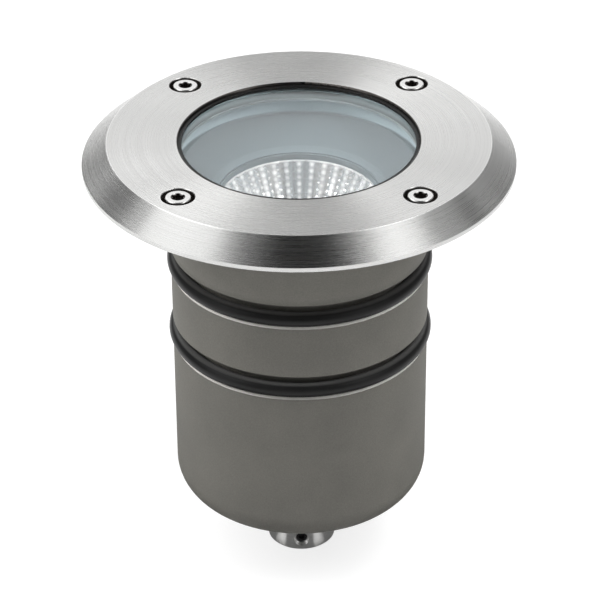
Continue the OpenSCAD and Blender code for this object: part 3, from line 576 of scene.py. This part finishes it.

# Rubber rings: a painted highlight, a lighter strip between two heights over the middle of each
RUBBER_MIDDLES = (-28.7 * MM, -51.6 * MM)
SHEEN_LOW = 1.1 * MM
SHEEN_HIGH = 1.8 * MM
SHEEN_FROM_R = 33.5 * MM
# Colour of the painted highlight
RUBBER_HIGHLIGHT = (0.14, 0.14, 0.137)
for middle in RUBBER_MIDDLES:
    foot = above(middle + SHEEN_LOW, soft=0.3 * MM)
    top = below(middle + SHEEN_HIGH, soft=0.2 * MM)
    repaint(looks["black_rubber"], [foot, top, outside(SHEEN_FROM_R)], RUBBER_HIGHLIGHT)

# Dish, the ring in its hole and the grey seat: painted light on the upright wall, lighter middle,
# painted shade on the inner seat
DISH_WALL = [above(-7.6 * MM, soft=0.3 * MM)]
# Colour of the painted light on the upright wall
DISH_WALL_LIGHT = (0.413, 0.494, 0.523)
DISH_TONES = [(24.6 * MM, 1.25), (24.8 * MM, 1.0)]
# Painted shade: darker towards the seat's inner edge
SEAT_SHADE_TONES = [(33.0 * MM, 0.5), (34.6 * MM, 0.92), (35.6 * MM, 1.0)]
repaint(looks["dish_grey"], DISH_WALL, DISH_WALL_LIGHT)
tone_by_radius(looks["dish_grey"], DISH_TONES)
tone_by_radius(looks["grey_silicone"], SEAT_SHADE_TONES)

slot_of = {part["node"]: part["material_slot"] for part in frame["record"]["subparts"]}
for name, made in nodes.items():
    made.data.materials.clear()
    made.data.materials.append(looks[slot_of[name]])


# Reflector with slightly domed facets, in place of the flat-faceted solid
FACET_STEPS = 6
MIRROR_TOP_R = 22.0 * MM
MIRROR_FOOT_R = 5.7 * MM
MIRROR_WALL = 1.1 * MM
FLANGE_W = 1.5 * MM
FLANGE_T = 1.0 * MM
DOME_R = 7.0 * MM
MERGE_WITHIN = 0.001 * MM
HALF_COLUMN = math.pi / COLUMNS
ROW_H = MIRROR_H / ROWS
MIRROR_FOOT = MIRROR_TOP - MIRROR_H
WIDENING = MIRROR_TOP_R ** 2 - MIRROR_FOOT_R ** 2


def mirror_radius(share):
    """Radius of the reflector's curve at a share of its height."""
    return math.sqrt(MIRROR_FOOT_R ** 2 + WIDENING * share)


def facet_point(column, aside, row, upward):
    """Point of a facet at shares of its width and height, raised by its dome."""
    share = (row + upward) / ROWS
    corner_r = mirror_radius(row / ROWS) * (1 - upward) + mirror_radius((row + 1) / ROWS) * upward
    across = (2 * aside - 1) * corner_r * math.sin(HALF_COLUMN)
    level = corner_r * math.cos(HALF_COLUMN)
    flat = Vector((level, across, MIRROR_FOOT + MIRROR_H * share))
    flat.rotate(Matrix.Rotation(math.pi / 2 + (column + 1) * 2 * HALF_COLUMN, 3, "Z"))
    steep = WIDENING / (2 * corner_r * MIRROR_H)
    inward = Vector((-flat.x / corner_r, -flat.y / corner_r, steep)).normalized()
    width = 2 * corner_r * math.sin(HALF_COLUMN)
    lift_across = width ** 2 / (8 * DOME_R) * (1 - (2 * aside - 1) ** 2)
    lift_along = ROW_H ** 2 / (8 * DOME_R) * (1 - (2 * upward - 1) ** 2)
    return flat + inward * (lift_across + lift_along)


def add_facet(made, column, row):
    """Adds one facet as a grid of small smooth faces."""
    grid = []
    corners = range(FACET_STEPS + 1)
    for j in corners:
        points = [facet_point(column, i / FACET_STEPS, row, j / FACET_STEPS) for i in corners]
        grid.append([made.verts.new(point) for point in points])
    for low, high in zip(grid, grid[1:]):
        for i in range(FACET_STEPS):
            face = made.faces.new((low[i], low[i + 1], high[i + 1], high[i]))
            face.smooth = True


def add_back(made):
    """Adds the outside of the reflector, its flange and its rim."""
    flange_low = MIRROR_TOP - FLANGE_T
    outline = [(MIRROR_FOOT_R, MIRROR_FOOT)]
    for row in range(ROWS):
        outline.append((mirror_radius(row / ROWS) + MIRROR_WALL, MIRROR_FOOT + ROW_H * row))
    outline.append((MIRROR_TOP_R + MIRROR_WALL, flange_low))
    outline.append((MIRROR_TOP_R + FLANGE_W, flange_low))
    outline.append((MIRROR_TOP_R + FLANGE_W, MIRROR_TOP))
    outline.append((MIRROR_TOP_R, MIRROR_TOP))
    angles = [math.pi / 2 + (2 * i + 1) * HALF_COLUMN for i in range(COLUMNS)]
    rings = []
    for radius, height in outline:
        corners = [(radius * math.cos(angle), radius * math.sin(angle), height) for angle in angles]
        rings.append([made.verts.new(corner) for corner in corners])
    for low, high in zip(rings, rings[1:]):
        for i in range(COLUMNS):
            j = (i + 1) % COLUMNS
            made.faces.new((low[i], high[i], high[j], low[j]))


def new_piece(name, made):
    """Turns a bmesh into an object of the scene."""
    mesh = bpy.data.meshes.new(name)
    made.to_mesh(mesh)
    made.free()
    piece = bpy.data.objects.new(name, mesh)
    scene.collection.objects.link(piece)
    return piece


def domed_reflector(look):
    made = bmesh.new()
    for column in range(COLUMNS):
        for row in range(ROWS):
            add_facet(made, column, row)
    add_back(made)
    bmesh.ops.remove_doubles(made, verts=made.verts, dist=MERGE_WITHIN)
    bmesh.ops.recalc_face_normals(made, faces=made.faces)
    piece = new_piece("domed_reflector", made)
    piece.data.materials.append(look)
    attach(piece, "root")
    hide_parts("reflector")


domed_reflector(looks["bright_mirror"])


# Floor, world, lamps and cards
CENTRE = (0.0, 0.0, -0.03)
UP = (0, 0, 1)
BACK = (0, 1, 0)
FLOOR_SIZE = 30.0
FLOOR_GAP = 0.2 * MM
# Grey of the floor for the light that it throws back on the object, and for the eye
FLOOR_GREY = 0.5
SEEN_FLOOR_GREY = 0.3
# The floor's glow rises with distance, since the lamps reach the far floor less
NEAR_FLOOR = 0.4
FAR_FLOOR = 2.0
NEAR_GLOW = 0.78
FAR_GLOW = 0.95
WORLD_STRENGTH = 0.30


def white_to_the_eye(tree, plain, white):
    """Mixes a plain shader with a white one that the eye, mirrors and glass see."""
    rays = tree.add("ShaderNodeLightPath")
    mirrored = tree.math("MAXIMUM", rays.outputs["Is Glossy Ray"], rays.outputs["Is Transmission Ray"])
    return tree.mix(tree.math("MAXIMUM", rays.outputs["Is Camera Ray"], mirrored), plain, white)


def rectangle(name, width, height):
    made = bmesh.new()
    corners = [(-1, -1), (1, -1), (1, 1), (-1, 1)]
    made.faces.new([made.verts.new((x * width / 2, y * height / 2, 0)) for x, y in corners])
    piece = new_piece(name, made)
    return piece


def floor_look():
    """White floor that keeps the object's shadow and can't be seen from below."""
    look = bpy.data.materials.new("floor")
    tree = Nodes.new(look)
    glow_strength = tree.span(axis_distance(tree), NEAR_FLOOR, FAR_FLOOR, NEAR_GLOW, FAR_GLOW)
    glow = tree.emission(1.0, glow_strength)
    seen = tree.fill(tree.add("ShaderNodeAddShader"), tree.diffuse(SEEN_FLOOR_GREY), glow)
    from_above = white_to_the_eye(tree, tree.diffuse(FLOOR_GREY), seen)
    behind = tree.add("ShaderNodeNewGeometry").outputs["Backfacing"]
    unseen = tree.add("ShaderNodeBsdfTransparent").outputs[0]
    tree.show("ShaderNodeOutputMaterial", tree.mix(behind, from_above, unseen))
    return look


floor = rectangle("floor", FLOOR_SIZE, FLOOR_SIZE)
floor.location = (0, 0, cad_box[0][2] - FLOOR_GAP)
floor.data.materials.append(floor_look())

world = bpy.data.worlds.new("studio")
scene.world = world
sky = Nodes.new(world)
lit_sky = sky.background(1.0, WORLD_STRENGTH)
white_sky = sky.background(1.0, 1.0)
sky.show("ShaderNodeOutputWorld", white_to_the_eye(sky, lit_sky, white_sky))


def lamp(name, at, width, height, power):
    """Area lamp that faces the object and shows in no reflection."""
    data = bpy.data.lights.new(name, "AREA")
    data.shape = "RECTANGLE"
    data.size, data.size_y = width, height
    data.energy = power
    made = bpy.data.objects.new(name, data)
    scene.collection.objects.link(made)
    made.visible_glossy = False
    made.location = at
    made.rotation_euler = (Vector(CENTRE) - Vector(at)).to_track_quat("-Z", "Y").to_euler()


def glowing(name, width, height, level):
    """Glowing rectangle that only mirrors and glass see."""
    piece = rectangle(name, width, height)
    look = bpy.data.materials.new(name)
    tree = Nodes.new(look)
    tree.show("ShaderNodeOutputMaterial", tree.emission(level, 1.0))
    piece.data.materials.append(look)
    piece.visible_camera = False
    piece.visible_diffuse = False
    piece.visible_shadow = False
    return piece


def card(name, towards, distance, along, width, height, level):
    """Card at a distance from the object: it shapes the reflections in the steel."""
    back = Vector(towards).normalized()
    side = Vector(along).cross(back).normalized()
    piece = glowing(name, width, height, level)
    turn = Matrix((side, back.cross(side), back)).transposed()
    piece.matrix_world = Matrix.Translation(Vector(CENTRE) + back * distance) @ turn.to_4x4()


def floor_card(name, azimuth, distance, length, width, level, lift):
    """Card on the floor under the object, seen in the gland's polished side."""
    piece = glowing(name, length, width, level)
    turn = math.radians(azimuth)
    piece.location = (distance * math.cos(turn), distance * math.sin(turn), floor.location.z + lift)
    piece.rotation_euler = (0, 0, turn)


# Each lamp's name, place, width, height and power
LAMPS = [
    ("key", (-1.05, -0.25, 1.30), 0.8, 1.3, 27.0),
    ("high_right", (0.75, 0.0, 1.60), 0.5, 0.5, 8.0),
    ("fill", (0.95, -0.50, 1.40), 0.6, 0.9, 18.0),
]
# Each card's name, direction from the object, distance, direction of its height, width, height
# and grey
CARDS = [
    ("wall", (0.0, 0.85, 0.525), 2.9, UP, 3.8, 2.3, 0.95),
    ("wall_gap", (0.0, 0.99, 0.12), 2.4, UP, 0.6, 0.75, 0.25),
    ("wall_left_high", (-0.38, 0.55, 0.74), 2.2, (-0.3, -0.4, 0.5), 1.1, 1.0, 2.2),
    ("wall_right_high", (0.38, 0.55, 0.74), 2.2, (0.3, -0.4, 0.5), 1.0, 1.0, 1.6),
    ("wall_left_low", (-0.44, 0.71, 0.55), 2.1, UP, 0.6, 0.6, 1.8),
    ("wall_right_low", (0.44, 0.71, 0.55), 2.1, UP, 0.4, 0.5, 0.4),
    ("left_box", (-0.62, -0.05, 0.78), 1.8, (-0.46, -0.59, -0.40), 1.1, 2.0, 1.35),
    ("left_gap", (-0.75, 0.47, 0.47), 1.6, (-0.43, -0.23, -0.45), 0.35, 1.5, 0.15),
    ("right_box", (0.535, -0.15, 0.83), 1.8, (0.40, -0.68, -0.40), 0.72, 2.2, 1.48),
    ("right_gap", (0.75, 0.32, 0.58), 1.6, (0.47, -0.34, -0.42), 0.28, 1.5, 0.04),
    ("dark_overhead", (0.02, -0.20, 0.98), 1.55, BACK, 0.84, 4.2, 0.005),
    ("left_strip", (-0.90, -0.44, 0.14), 1.6, UP, 0.35, 0.5, 2.15),
    ("right_strip", (0.80, -0.60, 0.14), 1.6, UP, 0.3, 0.5, 1.9),
]
# Dark cards round the rest of the scene, so that the steel has something darker than the white
# background to show. Each pair is mirrored from its right half.
ROOM_GREY = 0.22
ROOM_FRONT = ("room_front", (0.0, -1.0, 0.30), 3.2, UP, 7.0, 3.4, ROOM_GREY)
ROOM_TOP = ("room_top", (0.0, -0.15, 1.0), 3.0, BACK, 6.0, 5.0, ROOM_GREY)
ROOM_PAIRS = [
    ("room", (1.0, -0.1, 0.30), 3.2, 4.4, 3.0),
    ("room_back", (0.743, 0.669, 0.30), 3.1, 2.2, 2.8),
    ("low", (0.50, 0.86, 0.10), 2.7, 1.2, 0.75),
]
# Each floor card's name, azimuth, distance from the axis, length, width, grey and height over the
# floor
FLOOR_CARDS = [
    ("floor_shade", 0.0, 0.0, 150.0 * MM, 150.0 * MM, 0.14, 0.05 * MM),
    ("gland_left", 220.0, 32.0 * MM, 40.0 * MM, 6.0 * MM, 0.85, 0.1 * MM),
    ("gland_right", -50.0, 32.0 * MM, 40.0 * MM, 6.0 * MM, 0.75, 0.1 * MM),
]

for row in LAMPS:
    lamp(*row)
for row in CARDS:
    card(*row)
card(*ROOM_FRONT)
for name, (aside, back, up), distance, width, height in ROOM_PAIRS:
    card(name + "_left", (-aside, back, up), distance, UP, width, height, ROOM_GREY)
    card(name + "_right", (aside, back, up), distance, UP, width, height, ROOM_GREY)
card(*ROOM_TOP)
for row in FLOOR_CARDS:
    floor_card(*row)
